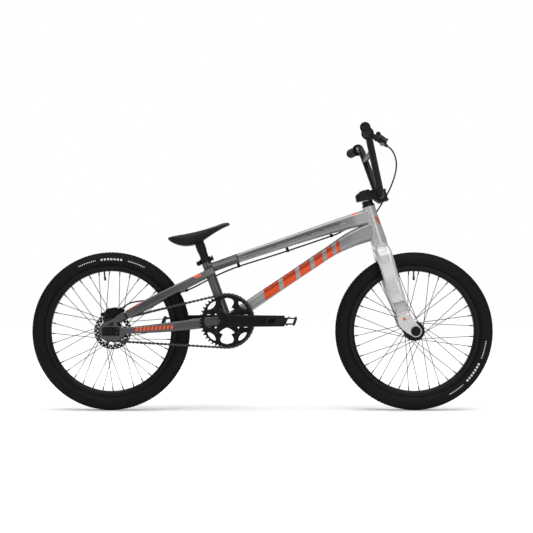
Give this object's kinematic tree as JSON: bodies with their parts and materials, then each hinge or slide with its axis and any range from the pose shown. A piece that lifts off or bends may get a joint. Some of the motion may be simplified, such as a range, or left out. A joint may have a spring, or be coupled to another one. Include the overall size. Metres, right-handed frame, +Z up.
{
  "type": "bmx race bike",
  "caption": "Aluminium BMX race bike with 20 inch wheels, riser bars with a crossbar, single-speed chain drive and a hydraulic rear disc brake.",
  "frame": {"origin": "point on the ground, midway between the two axles, in the bike's middle plane", "axes": "+X forward, +Y to the rider's left, +Z up"},
  "size_m": [1.476, 0.7144, 0.8797],
  "materials": {
    "frame_silver": "satin metallic paint",
    "fork_pearl": "gloss pearl paint",
    "frame_charcoal": "satin metallic paint",
    "black_alloy": "black anodised",
    "black_steel": "blackened",
    "bright_steel": "ground",
    "chain_steel": "dark brown steel",
    "tyre_rubber": "matte",
    "tube_rubber": "matte",
    "grip_rubber": "matte",
    "black_plastic": "matte",
    "hose_black": "satin",
    "pad_compound": "rough"
  },
  "bodies": {
    "frame": {"head_tube": "frame_silver", "top_tube": "frame_silver", "down_tube": "frame_silver", "seat_tube": "frame_charcoal", "bottom_bracket_shell": "frame_charcoal", "chainstays": "frame_charcoal", "seatstays": "frame_charcoal", "rear_dropouts": "frame_charcoal", "stay_bridges": "frame_charcoal", "hose_clips": "black_plastic", "headset_bearings": "bright_steel", "bottom_bracket_cups": "black_alloy", "rear_axle": "black_alloy", "brake_caliper": "black_alloy", "brake_hose_rear": "hose_black", "seat_clamp_collar": "black_alloy", "chain": "chain_steel"},
    "pad_inner": {"brake_pad_inner": "pad_compound"},
    "pad_outer": {"brake_pad_outer": "pad_compound"},
    "clamp_lever": {"seat_clamp_lever": "black_alloy"},
    "post": {"seat_post": "black_alloy"},
    "saddle": {"saddle_shell": "black_plastic", "saddle_pad": "black_plastic", "saddle_bolt": "black_steel"},
    "steering": {"fork": "fork_pearl", "headset_spacers": "black_alloy", "stem": "black_alloy", "stem_clamp_plate": "black_alloy", "stem_bolts": "black_steel", "handlebar": "black_alloy", "grip_right": "grip_rubber", "grip_left": "grip_rubber", "bar_end_plugs": "black_plastic", "brake_lever_body": "black_alloy", "front_axle": "black_alloy", "brake_hose_front": "hose_black"},
    "lever": {"brake_lever_blade": "black_alloy"},
    "front_wheel": {"front_tyre": "tyre_rubber", "front_inner_tube": "tube_rubber", "front_rim": "black_alloy", "front_spokes": "black_steel", "front_hub": "black_alloy", "front_hub_bearings": "bright_steel"},
    "rear_wheel": {"rear_tyre": "tyre_rubber", "rear_inner_tube": "tube_rubber", "rear_rim": "black_alloy", "rear_spokes": "black_steel", "rear_hub": "black_alloy", "rear_hub_bearings": "bright_steel", "brake_rotor": "bright_steel", "rotor_bolts": "black_steel"},
    "driver": {"rear_cog": "chain_steel"},
    "crank": {"crank_arm_right": "black_alloy", "crank_arm_left": "black_alloy", "crank_spindle": "bright_steel", "chainring": "black_alloy", "chainring_bolts": "black_steel", "pedal_axles": "bright_steel"},
    "pedal_r": {"pedal_right": "black_plastic"},
    "pedal_l": {"pedal_left": "black_plastic"}
  },
  "joints": [
    {"name": "steering_turn", "type": "hinge", "parent": "frame", "child": "steering", "pos_m": [0.3745, 0, 0.5347], "axis": [-0.2756, 0, 0.9613], "range_deg": [-70, 70], "deforming": ["brake_hose_front"]},
    {"name": "front_wheel_spin", "type": "hinge", "parent": "steering", "child": "front_wheel", "pos_m": [0.485, 0, 0.253], "axis": [0, 1, 0], "continuous": true},
    {"name": "rear_wheel_spin", "type": "hinge", "parent": "frame", "child": "rear_wheel", "pos_m": [-0.485, 0, 0.253], "axis": [0, 1, 0], "continuous": true},
    {"name": "crank_spin", "type": "hinge", "parent": "frame", "child": "crank", "pos_m": [-0.11258, 0, 0.2855], "axis": [0, 1, 0], "continuous": true, "deforming": ["chain"]},
    {"name": "driver_spin", "type": "hinge", "parent": "frame", "child": "driver", "pos_m": [-0.485, 0, 0.253], "axis": [0, 1, 0], "continuous": true},
    {"name": "pedal_right_spin", "type": "hinge", "parent": "crank", "child": "pedal_r", "pos_m": [0.05742, 0, 0.2855], "axis": [0, 1, 0], "continuous": true},
    {"name": "pedal_left_spin", "type": "hinge", "parent": "crank", "child": "pedal_l", "pos_m": [-0.28258, 0, 0.2855], "axis": [0, 1, 0], "continuous": true},
    {"name": "brake_lever_pull", "type": "hinge", "parent": "steering", "child": "lever", "pos_m": [0.37627, -0.224, 0.83689], "axis": [-0.3687, 0, -0.9296], "range_deg": [0, 9], "stiffness_Nm_per_rad": 0.5, "springref_deg": -20.05},
    {"name": "pad_inner_slide", "type": "slide", "parent": "frame", "child": "pad_inner", "axis": [0, 1, 0], "range_m": [0, 0.0005]},
    {"name": "pad_outer_slide", "type": "slide", "parent": "frame", "child": "pad_outer", "axis": [0, -1, 0], "range_m": [0, 0.0005]},
    {"name": "seat_height", "type": "slide", "parent": "frame", "child": "post", "axis": [-0.342, 0, 0.9397], "range_m": [-0.02, 0.04]},
    {"name": "saddle_tilt", "type": "hinge", "parent": "post", "child": "saddle", "pos_m": [-0.20697, 0, 0.54486], "axis": [0, 1, 0], "range_deg": [-5, 5]},
    {"name": "clamp_lever_swing", "type": "hinge", "parent": "frame", "child": "clamp_lever", "pos_m": [-0.20525, 0.0185, 0.46993], "axis": [-0.342, 0, 0.9397], "range_deg": [0, 140]}
  ],
  "couplings": [
    {"joint": "driver_spin", "follows": "crank_spin", "ratio": 2.8},
    {"joint": "pad_inner_slide", "follows": "brake_lever_pull", "m_per_rad": 0.0030558},
    {"joint": "pad_outer_slide", "follows": "brake_lever_pull", "m_per_rad": 0.0030558}
  ]
}
